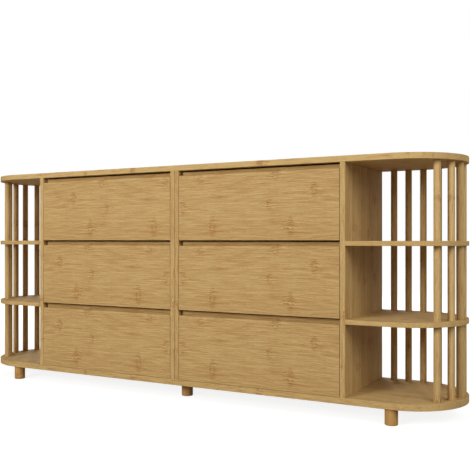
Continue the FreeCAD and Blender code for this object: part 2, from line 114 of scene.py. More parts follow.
class SideboardColours(bpy.types.PropertyGroup):
    """Colours of the finishes."""

    pale: colour("Pale fibre", "Palest fibres of the bamboo", "#C8A971")
    dark: colour("Dark fibre", "Darker fibres of the bamboo", "#A37D4A")
    streak: colour("Streak", "Reddish streaks in the bamboo", "#A06A34")
    knuckle: colour("Knuckle", "Marks where the cane had a joint", "#8A5227")
    # The feet's fibres are darker and redder than the rest: painted shade from the base above them, with a
    # painted reddish bounce of light from below.
    feet_pale_painted_shade: colour("Pale warm fibre", "Palest fibres of the feet", "#C1965B")
    feet_dark_painted_shade: colour("Dark warm fibre", "Darker fibres of the feet", "#9E6E3A")
    birch_pale: colour("Pale birch", "Early wood of the drawer boxes", "#D2B283")
    birch_dark: colour("Dark birch", "Late wood of the drawer boxes", "#B99562")
    beech_pale: colour("Pale beech", "Ground of the runners and dowels", "#CFA878")
    beech_dark: colour("Dark beech", "Flecks of the runners and dowels", "#A97C50")
    zinc: colour("Zinc", "Zinc plating of connectors and studs", "#C4C6C4")
    floor: colour("Floor", "Light that the floor throws back. The floor itself shows white", "#A8A299")


class SideboardStage(bpy.types.PropertyGroup):
    """Camera and studio light."""

    eye: FloatVectorProperty(name="Eye", description="Place of the camera", subtype="TRANSLATION",
                             unit="LENGTH", default=(1.3002, -2.1581, 0.5255))
    heading: FloatProperty(name="Heading", description="Turn of the camera about the upright",
                           subtype="ANGLE", default=math.radians(28.515))
    lens: FloatProperty(name="Lens", description="Focal length on a 36 mm frame",
                        subtype="DISTANCE_CAMERA", default=54.94)
    rise: FloatProperty(name="Rise", description="Upward shift of the frame", default=0.0102)
    key_power: power("Key power", "Soft lamp in front", 104.0)
    fill_power: power("Fill power", "Large soft lamp at the right", 102.0)
    back_power: power("Back power", "Large soft lamp behind", 120.0)
    ambient: FloatProperty(name="Ambient", description="Level of the light from all round", min=0.0,
                           default=0.1)


def add(tree, kind, inputs=None, **settings):
    """Add a node with its settings. Each input takes a value, a socket or a node's first output."""
    node = tree.nodes.new(kind)
    for name, value in settings.items():
        setattr(node, name, value)
    live = [socket for socket in node.inputs if socket.enabled]
    for key, value in (inputs or {}).items():
        socket = live[key] if isinstance(key, int) else next(s for s in live if s.name == key)
        if isinstance(value, bpy.types.Node):
            value = next(s for s in value.outputs if s.enabled)
        if isinstance(value, bpy.types.NodeSocket):
            tree.links.new(value, socket)
        else:
            socket.default_value = value
    return node


# Materials

# Half width of a knuckle's mark and of the disturbed fibres beside it, in mm
MARK_REACH = 11.0
HALO_REACH = 60.0
# How far the disturbed fibres reach above and below the mark, in mm
HALO_MARGIN = 6.0
# Half height of a knuckle on the boards, panels and bars, in mm
KNUCKLE_HALF_HEIGHT = 24.0
# Spacing of the knuckles along and across the grain, in mm, and how uneven it is
BOARD_KNUCKLES = (260, 90)
ROD_KNUCKLES = (520, 60)
BACK_KNUCKLES = (300, 110)
KNUCKLE_UNEVENNESS = 0.9
# Spacing of the dashes in a knuckle, in mm, and how far they stray, in radians
DASH_PITCH = 7.0
DASH_UNEVENNESS = 9.0
# Depth of a glued strip, in mm. It goes right through a board, so its tone is the same on both faces
STRIP_DEPTH = 80.0
# Settles which of the glued strips are pale and which are dark
STRIP_SEED = 2

# Knuckle marks of a drawer front: along from its inner edge, up from its lower edge, half height, in mm
FRONT_KNUCKLES = (
    (476, 149, 24),
    (330, 110, 17),
    (127, 42, 36),
    (399, 41, 29),
    (16, 106, 23),
    (349, 201, 15),
    (82, 194, 14),
)
# The veneer of the left fronts is the mirror image. The upper one lies this much nearer to the seam, in mm
UPPER_LEFT_SHIFT = 64

# Length along the grain and width across it of each part of the figure, in mm.
# Real fibres are finer than the single ones here, which are as coarse as it takes to show them.
FIBRE_BUNDLES = (70, 2.5)
SINGLE_FIBRES = (14, 1.3)
BROAD_TONES = (200, 40)
RED_STREAKS = (70, 4.0)
DASH_STRAYS = (9.0, 9.0)
# Waves of the fibres: length and width, swing far from a knuckle and swing beside one, in mm
FIBRE_WAVES = (((200, 80), 20.0, 20.0), ((24, 11), 0.0, 13.0))

# Steps from one level to another, all smooth, by the names of the node's sockets
SMOOTH = {"interpolation_type": "SMOOTHSTEP"}
# Halo, rim and hollow of a knuckle, by the distance from its centre, where 1 is the rim of its ellipse
HALO_STEP = {"From Min": 1.0, "From Max": 0.1}
RIM_STEP = {"From Min": 1.25, "From Max": 0.85}
HOLLOW_STEP = {"From Min": 0.1, "From Max": 0.5}
# Wave level at which a dash begins and is whole, and its strength
DASH_STEP = {"From Min": -0.3, "From Max": 0.6, "To Max": 0.44}
# Tone at which the wood is all dark and all pale
TONE_STEP = {"From Min": -0.48, "From Max": 0.56}
# Noise level from which a streak shows, far from a knuckle and beside one, and the step to its full strength
STREAK_LEVELS = {"To Min": 0.63, "To Max": 0.54}
STREAK_STEP = {"From Max": 0.1, "To Max": 0.55}

# Weight of each part in the tone. That of the bundles is given far from a knuckle and beside one
BUNDLE_WEIGHTS = {"To Min": 1.2, "To Max": 2.2}
SINGLE_WEIGHT = 0.9
BROAD_WEIGHT = 0.16
STRIP_WEIGHT = 0.08

# Noise: its middle value, its roughness, and an offset for each part so that no two look alike
NOISE_MIDDLE = 0.5
NOISE_ROUGHNESS = 0.6
SEEDS = {"waves": 3.1, "bundles": 11.7, "single": 23.3, "broad": 31.9, "streaks": 47.3, "dashes": 59.1,
         "flecks": 5.3, "clouds": 17.7, "plating": 9.1}

# Roughness of each finish over the usual range of its noise
NOISE_RANGE = {"From Min": 0.3, "From Max": 0.7}
LACQUER_ROUGHNESS = {**NOISE_RANGE, "To Min": 0.6, "To Max": 0.7}
TIMBER_ROUGHNESS = {**NOISE_RANGE, "To Min": 0.55, "To Max": 0.68}
ZINC_ROUGHNESS = {**NOISE_RANGE, "To Min": 0.28, "To Max": 0.45}
# Depth of each finish's relief, in mm, and how strongly it shows
LACQUER_RELIEF = 0.12
TIMBER_RELIEF = 0.1
ZINC_RELIEF = 0.02
RELIEF_STRENGTH = 0.5
# Lacquer and bare wood bend light alike, and differ in gloss
WOOD_IOR = 1.45
LACQUER_GLOSS = 0.17
TIMBER_GLOSS = 0.3

# Flecks of the plain timbers and clouds of the plating: length and width in mm
BIRCH_FLECKS = (60, 3)
BEECH_FLECKS = (9, 1.2)
ZINC_CLOUDS = (2.0, 2.0)
# A cloud of tone in timber is this many times as large as a fleck
CLOUD_TIMES = 10
# Sum of flecks and clouds at which the timber is all dark and all pale
TIMBER_STEP = {"From Min": 0.7, "From Max": 1.3}


def fibres(tree, grain, size, detail, part):
    """Noise drawn out along the grain. The size is the real length and width of a fibre or cloud, in mm."""
    run, width = size
    scale = (1 / run, 1 / width, 1 / width)
    offset = (SEEDS[part], SEEDS[part], SEEDS[part])
    place = add(tree, "ShaderNodeVectorMath", {0: grain, 1: scale, 2: offset}, operation="MULTIPLY_ADD")
    return add(tree, "ShaderNodeTexNoise",
               {"Vector": place, "Scale": 1.0, "Detail": detail, "Roughness": NOISE_ROUGHNESS})


def bamboo_figure(strip_width):
    """Node group for laminated bamboo, on grain coordinates in mm: along, across and through the board."""
    tree = bpy.data.node_groups.new("Bamboo figure", "ShaderNodeTree")
    for name, kind in (("Grain", "Vector"), ("Mark distance", "Float"), ("Halo distance", "Float"),
                       ("Lift", "Float"), ("Strip weight", "Float"), ("Pale", "Color"), ("Dark", "Color"),
                       ("Streak", "Color"), ("Knuckle", "Color")):
        tree.interface.new_socket(name, in_out="INPUT", socket_type=f"NodeSocket{kind}")
    for name, kind in (("Colour", "Color"), ("Roughness", "Float"), ("Relief", "Float")):
        tree.interface.new_socket(name, in_out="OUTPUT", socket_type=f"NodeSocket{kind}")
    given = add(tree, "NodeGroupInput").outputs
    halo = add(tree, "ShaderNodeMapRange", {"Value": given["Halo distance"], **HALO_STEP}, **SMOOTH)
    rim = add(tree, "ShaderNodeMapRange", {"Value": given["Mark distance"], **RIM_STEP}, **SMOOTH)
    hollow = add(tree, "ShaderNodeMapRange", {"Value": given["Mark distance"], **HOLLOW_STEP}, **SMOOTH)

    # Fibres wander a little everywhere and swing round the knuckles
    grain = given["Grain"]
    for size, far, near in FIBRE_WAVES:
        wave = fibres(tree, given["Grain"], size, 1, "waves")
        wave = add(tree, "ShaderNodeMath", {0: wave, 1: NOISE_MIDDLE}, operation="SUBTRACT")
        swing = add(tree, "ShaderNodeMapRange", {"Value": halo, "To Min": far, "To Max": near}, **SMOOTH)
        wave = add(tree, "ShaderNodeMath", {0: wave, 1: swing}, operation="MULTIPLY")
        aside = add(tree, "ShaderNodeCombineXYZ", {"Y": wave})
        grain = add(tree, "ShaderNodeVectorMath", {0: grain, 1: aside}, operation="ADD")

    # Bundles, single fibres, broad tone and the tone of each glued strip, all about their middle
    bundles = fibres(tree, grain, FIBRE_BUNDLES, 1, "bundles")
    single = fibres(tree, grain, SINGLE_FIBRES, 2, "single")
    broad = fibres(tree, given["Grain"], BROAD_TONES, 1, "broad")
    scale = (0, 1 / strip_width, 1 / STRIP_DEPTH)
    strip = add(tree, "ShaderNodeVectorMath", {0: given["Grain"], 1: scale, 2: (STRIP_SEED, 0, 0)},
                operation="MULTIPLY_ADD")
    strip = add(tree, "ShaderNodeVectorMath", {0: strip}, operation="FLOOR")
    strip = add(tree, "ShaderNodeTexWhiteNoise", {"Vector": strip}).outputs["Value"]
    contrast = add(tree, "ShaderNodeMapRange", {"Value": halo, **BUNDLE_WEIGHTS}, **SMOOTH)
    parts = ((bundles, contrast), (single, SINGLE_WEIGHT), (broad, BROAD_WEIGHT),
             (strip, given["Strip weight"]))
    tone = given["Lift"]
    for part, weight in parts:
        part = add(tree, "ShaderNodeMath", {0: part, 1: NOISE_MIDDLE}, operation="SUBTRACT")
        tone = add(tree, "ShaderNodeMath", {0: part, 1: weight, 2: tone}, operation="MULTIPLY_ADD")
    tone = add(tree, "ShaderNodeMapRange", {"Value": tone, **TONE_STEP}, **SMOOTH)
    base = add(tree, "ShaderNodeMix", {"Factor": tone, "A": given["Dark"], "B": given["Pale"]},
               data_type="RGBA")

    # Reddish streaks, thicker beside a knuckle
    red = fibres(tree, grain, RED_STREAKS, 1, "streaks")
    level = add(tree, "ShaderNodeMapRange", {"Value": halo, **STREAK_LEVELS}, **SMOOTH)
    red = add(tree, "ShaderNodeMath", {0: red, 1: level}, operation="SUBTRACT")
    red = add(tree, "ShaderNodeMapRange", {"Value": red, **STREAK_STEP}, **SMOOTH)
    base = add(tree, "ShaderNodeMix", {"Factor": red, "A": base, "B": given["Streak"]}, data_type="RGBA")

    # A knuckle is two columns of short dashes, at the sides of its ellipse
    across = add(tree, "ShaderNodeSeparateXYZ", {"Vector": grain}).outputs["Y"]
    phase = fibres(tree, grain, DASH_STRAYS, 1, "dashes")
    phase = add(tree, "ShaderNodeMath", {0: phase, 1: DASH_UNEVENNESS}, operation="MULTIPLY")
    phase = add(tree, "ShaderNodeMath", {0: across, 1: 2 * math.pi / DASH_PITCH, 2: phase},
                operation="MULTIPLY_ADD")
    mark = add(tree, "ShaderNodeMath", {0: phase}, operation="SINE")
    mark = add(tree, "ShaderNodeMapRange", {"Value": mark, **DASH_STEP}, **SMOOTH)
    for mask in (rim, hollow):
        mark = add(tree, "ShaderNodeMath", {0: mark, 1: mask}, operation="MULTIPLY")
    base = add(tree, "ShaderNodeMix", {"Factor": mark, "A": base, "B": given["Knuckle"]}, data_type="RGBA")

    rough = add(tree, "ShaderNodeMapRange", {"Value": single, **LACQUER_ROUGHNESS}, **SMOOTH)
    relief = add(tree, "ShaderNodeMath", {0: single, 1: mark}, operation="SUBTRACT")
    add(tree, "NodeGroupOutput", {"Colour": base, "Roughness": rough, "Relief": relief})
    return tree


def grain_coordinates(tree, order):
    """Object coordinates in mm, with the axes in the order along, across and through the grain."""
    place = add(tree, "ShaderNodeTexCoord").outputs["Object"]
    place = add(tree, "ShaderNodeVectorMath", {0: place, 1: (1 / MM, 1 / MM, 1 / MM)}, operation="MULTIPLY")
    axes = add(tree, "ShaderNodeSeparateXYZ", {"Vector": place}).outputs
    return add(tree, "ShaderNodeCombineXYZ", {index: axes[axis] for index, axis in enumerate(order)})


def knuckle_distance(tree, grain, knuckles, half_width, margin):
    """Distance to the nearest knuckle, 1 at its ellipse's rim. A knuckle is a centre and a half height."""
    nearest = None
    for centre, half_height in knuckles:
        away = add(tree, "ShaderNodeVectorMath", {0: grain, 1: centre}, operation="SUBTRACT")
        scale = (1 / half_width, 1 / (half_height + margin), 0)
        away = add(tree, "ShaderNodeVectorMath", {0: away, 1: scale}, operation="MULTIPLY")
        distance = add(tree, "ShaderNodeVectorMath", {0: away}, operation="LENGTH")
        if nearest:
            distance = add(tree, "ShaderNodeMath", {0: nearest, 1: distance}, operation="MINIMUM")
        nearest = distance
    return nearest


def scattered_knuckles(tree, grain, spacing):
    """One knuckle in each cell of an uneven net. The spacing is the real one along and across, in mm."""
    along, across = spacing
    scale = (1 / along, 1 / across, 0)
    place = add(tree, "ShaderNodeVectorMath", {0: grain, 1: scale}, operation="MULTIPLY")
    cells = add(tree, "ShaderNodeTexVoronoi",
                {"Vector": place, "Scale": 1.0, "Randomness": KNUCKLE_UNEVENNESS}, voronoi_dimensions="2D")
    centre = add(tree, "ShaderNodeVectorMath", {0: cells.outputs["Position"], 1: (along, across, 0)},
                 operation="MULTIPLY")
    return [(centre, KNUCKLE_HALF_HEIGHT)]


def front_grain(tree):
    """Grain of the drawer fronts: each front has the same veneer, mirrored on the left of the seam."""
    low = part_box("right_lower_drawer_front")[0]
    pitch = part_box("right_middle_drawer_front")[0].z - low.z
    axes = add(tree, "ShaderNodeSeparateXYZ", {"Vector": grain_coordinates(tree, "XZY")}).outputs
    along = add(tree, "ShaderNodeMath", {0: axes["X"]}, operation="ABSOLUTE")
    left = add(tree, "ShaderNodeMath", {0: axes["X"], 1: 0.0}, operation="LESS_THAN")
    up = add(tree, "ShaderNodeMath", {0: axes["Y"], 1: low.z / MM}, operation="SUBTRACT")
    upper = add(tree, "ShaderNodeMath", {0: up, 1: 2 * pitch / MM}, operation="GREATER_THAN")
    shift = add(tree, "ShaderNodeMath", {0: left, 1: upper}, operation="MULTIPLY")
    shift = add(tree, "ShaderNodeMath", {0: shift, 1: UPPER_LEFT_SHIFT, 2: -low.x / MM},
                operation="MULTIPLY_ADD")
    along = add(tree, "ShaderNodeMath", {0: along, 1: shift}, operation="ADD")
    up = add(tree, "ShaderNodeMath", {0: up, 1: pitch / MM}, operation="FLOORED_MODULO")
    return add(tree, "ShaderNodeCombineXYZ", {"X": along, "Y": up, "Z": axes["Z"]})


def front_knuckles(tree, grain):
    """The knuckles of a front, which are the same for any tree and grain."""
    return [((along, up, 0), half_height) for along, up, half_height in FRONT_KNUCKLES]


def new_material(name):
    """An empty node material."""
    material = bpy.data.materials.new(name)
    material.use_nodes = True
    material.node_tree.nodes.clear()
    return material


def surface(tree, relief, relief_depth, **look):
    """Close a material with its shader and the relief of its surface, in mm."""
    bump = add(tree, "ShaderNodeBump",
               {"Strength": RELIEF_STRENGTH, "Distance": relief_depth * MM, "Height": relief})
    inputs = {name.replace("_", " "): value for name, value in look.items()}
    shader = add(tree, "ShaderNodeBsdfPrincipled", {**inputs, "Normal": bump})
    add(tree, "ShaderNodeOutputMaterial", {"Surface": shader})


def bamboo(name, grain_of, knuckles_of, lift, strips=STRIP_WEIGHT, gloss=LACQUER_GLOSS, fibre="pale",
           shade="dark"):
    """Laminated bamboo, sanded and satin lacquered: straight fibres with knuckle marks, a soft broad gloss.

    Lift makes all of it paler, strips is the weight of the glued strips, and gloss is the lacquer's.
    """
    colours = bpy.context.scene.sideboard_colours
    material = new_material(name)
    tree = material.node_tree
    grain = grain_of(tree)
    knuckles = knuckles_of(tree, grain)
    group = bpy.data.node_groups.get("Bamboo figure")
    if group is None:
        group = bamboo_figure(bpy.context.scene.sideboard_sizes.strip_width / MM)
    inputs = {
        "Grain": grain,
        "Mark distance": knuckle_distance(tree, grain, knuckles, MARK_REACH, 0),
        "Halo distance": knuckle_distance(tree, grain, knuckles, HALO_REACH, HALO_MARGIN),
        "Lift": lift,
        "Strip weight": strips,
        "Pale": getattr(colours, fibre),
        "Dark": getattr(colours, shade),
        "Streak": colours.streak,
        "Knuckle": colours.knuckle,
    }
    figure = add(tree, "ShaderNodeGroup", inputs, node_tree=group).outputs
    surface(tree, figure["Relief"], LACQUER_RELIEF, Base_Color=figure["Colour"],
            Roughness=figure["Roughness"], IOR=WOOD_IOR, Specular_IOR_Level=gloss)
    return material


def plain_wood(name, order, pale, dark, fleck_size):
    """Close-grained timber, planed and left plain: fine straight flecks, hardly any gloss."""
    material = new_material(name)
    tree = material.node_tree
    grain = grain_coordinates(tree, order)
    flecks = fibres(tree, grain, fleck_size, 3, "flecks")
    clouds = fibres(tree, grain, [CLOUD_TIMES * size for size in fleck_size], 1, "clouds")
    tone = add(tree, "ShaderNodeMath", {0: flecks, 1: clouds}, operation="ADD")
    tone = add(tree, "ShaderNodeMapRange", {"Value": tone, **TIMBER_STEP}, **SMOOTH)
    base = add(tree, "ShaderNodeMix", {"Factor": tone, "A": dark, "B": pale}, data_type="RGBA")
    rough = add(tree, "ShaderNodeMapRange", {"Value": flecks, **TIMBER_ROUGHNESS}, **SMOOTH)
    surface(tree, flecks, TIMBER_RELIEF, Base_Color=base, Roughness=rough, IOR=WOOD_IOR,
            Specular_IOR_Level=TIMBER_GLOSS)
    return material


def zinc_plate(name, colour_of_zinc):
    """Zinc-plated steel, barrel plated: a dull bluish grey metal with cloudy gloss."""
    material = new_material(name)
    tree = material.node_tree
    grain = grain_coordinates(tree, "XYZ")
    clouds = fibres(tree, grain, ZINC_CLOUDS, 3, "plating")
    rough = add(tree, "ShaderNodeMapRange", {"Value": clouds, **ZINC_ROUGHNESS}, **SMOOTH)
    surface(tree, clouds, ZINC_RELIEF, Base_Color=colour_of_zinc, Metallic=1.0, Roughness=rough)
    return material


def material_of(finish):
    """The material of a finish, made when it is first asked for."""
    name, make = finishes()[finish]
    return bpy.data.materials.get(name) or make(name)


def finishes():
    """Each finish's material by name, with the function that makes it. Most are called after their slot."""
    colours = bpy.context.scene.sideboard_colours
    birch = (colours.birch_pale, colours.birch_dark, BIRCH_FLECKS)
    beech = (colours.beech_pale, colours.beech_dark, BEECH_FLECKS)

    def laminated(order, spacing, lift, **look):
        return lambda name: bamboo(name, lambda tree: grain_coordinates(tree, order),
                                   lambda tree, grain: scattered_knuckles(tree, grain, spacing), lift, **look)

    def veneered(lift, **look):
        return lambda name: bamboo(name, front_grain, front_knuckles, lift, **look)

    def timber(order, wood):
        return lambda name: plain_wood(name, order, *wood)

    return {
        "bamboo_boards": ("laminated_bamboo_boards",
                          laminated("XYZ", BOARD_KNUCKLES, lift=0.24, strips=0.2, gloss=0.04)),
        "bamboo_panels": ("laminated_bamboo_panels",
                          laminated("ZYX", BOARD_KNUCKLES, lift=0.13, strips=0.35)),
        "bamboo_turned": ("turned_bamboo", laminated("ZXY", ROD_KNUCKLES, lift=0.24)),
        # The feet take the darker, redder fibres: painted shade under the base and a painted reddish bounce
        # light.
        "feet": ("turned_bamboo_feet",
                 laminated("ZXY", ROD_KNUCKLES, lift=0.26, fibre="feet_pale_painted_shade", shade="feet_dark_painted_shade")),
        "bamboo_drawer_fronts": ("laminated_bamboo_fronts", veneered(lift=0.04)),
        # The box fronts, which show in the finger gaps, are a darker copy of the fronts' bamboo: painted
        # shade of the recess.
        "box_fronts_painted_shade": ("laminated_bamboo_box_fronts", veneered(lift=-0.15, gloss=0.05)),
        "back_panel_board": ("bamboo_veneered_board",
                             laminated("ZXY", BACK_KNUCKLES, lift=0.04, strips=0.35)),
        "drawer_box_wood": ("birch_plywood", timber("YZX", birch)),
        "crosswise": ("birch_plywood_crosswise", timber("XZY", birch)),
        "runner_hardwood": ("beech_runners", timber("YZX", beech)),
        "dowel_beech": ("beech_dowels", timber("ZXY", beech)),
        "zinc_plated_steel": ("barrel_plated_zinc", lambda name: zinc_plate(name, colours.zinc)),
    }


# Pieces

MERGE_DISTANCE = 0.001 * MM
FLAT_ANGLE = math.radians(0.5)
CORNER_ANGLE = math.radians(50)
# Edges shorter than this, such as the rims of bores, stay sharp
SHORTEST_EASED = 6.0 * MM
EASE_SEGMENTS = 3
ROUND_STEPS = 3


def evaluated_mesh(made, name):
    """The mesh of an object with its modifiers applied, as plain data."""
    graph = bpy.context.evaluated_depsgraph_get()
    mesh = bpy.data.meshes.new_from_object(made.evaluated_get(graph), depsgraph=graph)
    mesh.name = name
    bpy.data.objects.remove(made)
    return mesh


def in_scene(name, mesh):
    """A new object at the origin with its place in its mesh."""
    made = bpy.data.objects.new(name, mesh)
    bpy.context.scene.collection.objects.link(made)
    bpy.context.view_layer.update()
    return made


def finished(name, mesh, slot, body, nodes, finish=None):
    """A finished piece: its material, its body and the frame's nodes that it stands for."""
    if not mesh.materials:
        mesh.materials.append(material_of(finish or slot))
    piece = in_scene(name, mesh)
    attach(piece, body)
    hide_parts(*nodes)
    return piece


def clean_copy(node):
    """A node of the frame as one closed mesh with whole flat faces."""
    shell = bmesh.new()
    shell.from_mesh(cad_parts[node].data)
    bmesh.ops.remove_doubles(shell, verts=shell.verts, dist=MERGE_DISTANCE)
    bmesh.ops.dissolve_limit(shell, angle_limit=FLAT_ANGLE, verts=shell.verts, edges=shell.edges)
    for face in shell.faces:
        face.material_index = 0
        face.smooth = True
    return shell


def eased_piece(node, slot, body, ease, seam_ease=0.0, finish=None):
    """A node's own shape with its sharp edges eased, those at the seam by a width of their own."""
    name = f"{node}_{slot}"
    shell = clean_copy(node)
    widest = max(ease, seam_ease)
    share = shell.edges.layers.float.new("bevel_weight_edge")
    for edge in shell.edges:
        if edge.calc_face_angle() > CORNER_ANGLE:
            at_seam = all(abs(vertex.co.x) < MERGE_DISTANCE for vertex in edge.verts)
            if edge.calc_length() > SHORTEST_EASED:
                edge[share] = (seam_ease if at_seam else ease) / widest
            edge.smooth = edge[share] > 0
    mesh = bpy.data.meshes.new(name)
    shell.to_mesh(mesh)
    shell.free()
    made = in_scene(name, mesh)
    bevel = made.modifiers.new("Eased edges", "BEVEL")
    bevel.width = widest
    bevel.segments = EASE_SEGMENTS
    bevel.limit_method = "WEIGHT"
    flat = made.modifiers.new("Flat faces", "WEIGHTED_NORMAL")
    flat.keep_sharp = True
    return finished(name, evaluated_mesh(made, name), slot, body, [node], finish)


def solids_of(node):
    """Lowest and highest corner of each separate solid of a node."""
    shell = clean_copy(node)
    left = set(shell.verts)
    boxes = []
    while left:
        reached = [left.pop()]
        for vertex in reached:
            for edge in vertex.link_edges:
                other = edge.other_vert(vertex)
                if other in left:
                    left.remove(other)
                    reached.append(other)
        places = [vertex.co for vertex in reached]
        low = Vector([min(place[axis] for place in places) for axis in range(3)])
        high = Vector([max(place[axis] for place in places) for axis in range(3)])
        boxes.append((low, high))
    shell.free()
    return boxes


def new_tree(name, inputs):
    """A geometry tree with named inputs, and its group input's sockets."""
    tree = bpy.data.node_groups.new(name, "GeometryNodeTree")
    for label, kind in inputs:
        tree.interface.new_socket(label, in_out="INPUT", socket_type=f"NodeSocket{kind}")
    tree.interface.new_socket("Geometry", in_out="OUTPUT", socket_type="NodeSocketGeometry")
    return tree, add(tree, "NodeGroupInput").outputs


def close_tree(tree, points, shape, material):
    """Put a shape on each point, make it real and give it its material."""
    many = add(tree, "GeometryNodeInstanceOnPoints", {"Points": points, "Instance": shape})
    real = add(tree, "GeometryNodeRealizeInstances", {"Geometry": many})
    painted = add(tree, "GeometryNodeSetMaterial", {"Geometry": real, "Material": material})
    add(tree, "NodeGroupOutput", {"Geometry": painted})


def turned_rods_tree():
    """Upright turned rods with rounded ends, one on each point."""
    tree, given = new_tree("Turned rods", (("Points", "Geometry"), ("Diameter", "Float"), ("Length", "Float"),
                                           ("Ease", "Float"), ("Sides", "Int"), ("Material", "Material")))
    count = 2 * (ROUND_STEPS + 1)
    line = add(tree, "GeometryNodeCurvePrimitiveLine")
    line = add(tree, "GeometryNodeResampleCurve", {"Curve": line, "Count": count}, mode="COUNT")
    index = add(tree, "GeometryNodeInputIndex")
    from_top = add(tree, "ShaderNodeMath", {0: count - 1, 1: index}, operation="SUBTRACT")
    from_end = add(tree, "ShaderNodeMath", {0: index, 1: from_top}, operation="MINIMUM")
    turn = add(tree, "ShaderNodeMath", {0: from_end, 1: math.pi / 2 / ROUND_STEPS}, operation="MULTIPLY")
    inset = add(tree, "ShaderNodeMath", {0: turn}, operation="SINE")
    inset = add(tree, "ShaderNodeMath", {0: 1.0, 1: inset}, operation="SUBTRACT")
    inset = add(tree, "ShaderNodeMath", {0: inset, 1: given["Ease"]}, operation="MULTIPLY")
    rise = add(tree, "ShaderNodeMath", {0: turn}, operation="COSINE")
    rise = add(tree, "ShaderNodeMath", {0: 1.0, 1: rise}, operation="SUBTRACT")
    rise = add(tree, "ShaderNodeMath", {0: rise, 1: given["Ease"]}, operation="MULTIPLY")
    upper = add(tree, "ShaderNodeMath", {0: index, 1: ROUND_STEPS + 0.5}, operation="GREATER_THAN")
    drop = add(tree, "ShaderNodeMath", {0: given["Length"], 1: rise}, operation="SUBTRACT")
    height = add(tree, "ShaderNodeMix", {"Factor": upper, "A": rise, "B": drop}, data_type="FLOAT")
    place = add(tree, "ShaderNodeCombineXYZ", {"Z": height})
    line = add(tree, "GeometryNodeSetPosition", {"Geometry": line, "Position": place})
    radius = add(tree, "ShaderNodeMath", {0: given["Diameter"], 1: 0.5}, operation="MULTIPLY")
    radius = add(tree, "ShaderNodeMath", {0: radius, 1: inset}, operation="SUBTRACT")
    circle = add(tree, "GeometryNodeCurvePrimitiveCircle", {"Resolution": given["Sides"], "Radius": 1.0})
    rod = add(tree, "GeometryNodeCurveToMesh",
              {"Curve": line, "Profile Curve": circle, "Scale": radius, "Fill Caps": True})
    close_tree(tree, given["Points"], rod, given["Material"])
    return tree


def milled_strips_tree():
    """Level strips along Y with rounded edges, one on each point."""
    tree, given = new_tree("Milled strips", (("Points", "Geometry"), ("Width", "Float"),
                                             ("Height", "Float"), ("Length", "Float"),
                                             ("Ease", "Float"), ("Material", "Material")))
    end = add(tree, "ShaderNodeCombineXYZ", {"Y": given["Length"]})
    line = add(tree, "GeometryNodeCurvePrimitiveLine", {"End": end})
    section = add(tree, "GeometryNodeCurvePrimitiveQuadrilateral",
                  {"Width": given["Width"], "Height": given["Height"]})
    section = add(tree, "GeometryNodeFilletCurve",
                  {"Curve": section, "Count": EASE_SEGMENTS, "Radius": given["Ease"]}, mode="POLY")
    strip = add(tree, "GeometryNodeCurveToMesh", {"Curve": line, "Profile Curve": section, "Fill Caps": True})
    close_tree(tree, given["Points"], strip, given["Material"])
    return tree


def repeated(name, tree, points, slot, finish, nodes, **sizes):
    """Run a tree on points of the carcass and keep the result as one plain piece."""
    mesh = bpy.data.meshes.new(f"{name}_points")
    mesh.from_pydata(points, [], [])
    made = in_scene(f"{name}_points", mesh)
    modifier = made.modifiers.new(tree.name, "NODES")
    modifier.node_group = tree
    sizes["Material"] = material_of(finish)
    for socket in tree.interface.items_tree:
        if socket.in_out == "INPUT" and socket.name in sizes:
            modifier[socket.identifier] = sizes[socket.name]
    mesh = evaluated_mesh(made, name)
    mesh.shade_smooth()
    mesh.set_sharp_from_angle(angle=CORNER_ANGLE)
    return finished(name, mesh, slot, CARCASS, nodes)


# Stage

WHITE = linear("#FFFFFF")
# Place and width of each square lamp, in metres
LAMPS = {
    "key": ((-0.95, -3.8, 1.6), 1.1),
    "fill": ((3.4, -2.0, 2.6), 2.8),
    "back": ((-2.2, 3.4, 1.4), 2.6),
}
# Half width of the floor, in metres
FLOOR_HALF = 15.0
# The floor that is seen: a grey that takes the shadow, and a glow that whitens away from the sideboard
FLOOR_SHADE = linear("#959595")
FLOOR_GLOW = {"From Min": 1.0, "From Max": 2.6, "To Min": 0.86, "To Max": 1.0}
# Width of the frame that the lens is given for, in mm
FRAME_WIDTH = 36.0


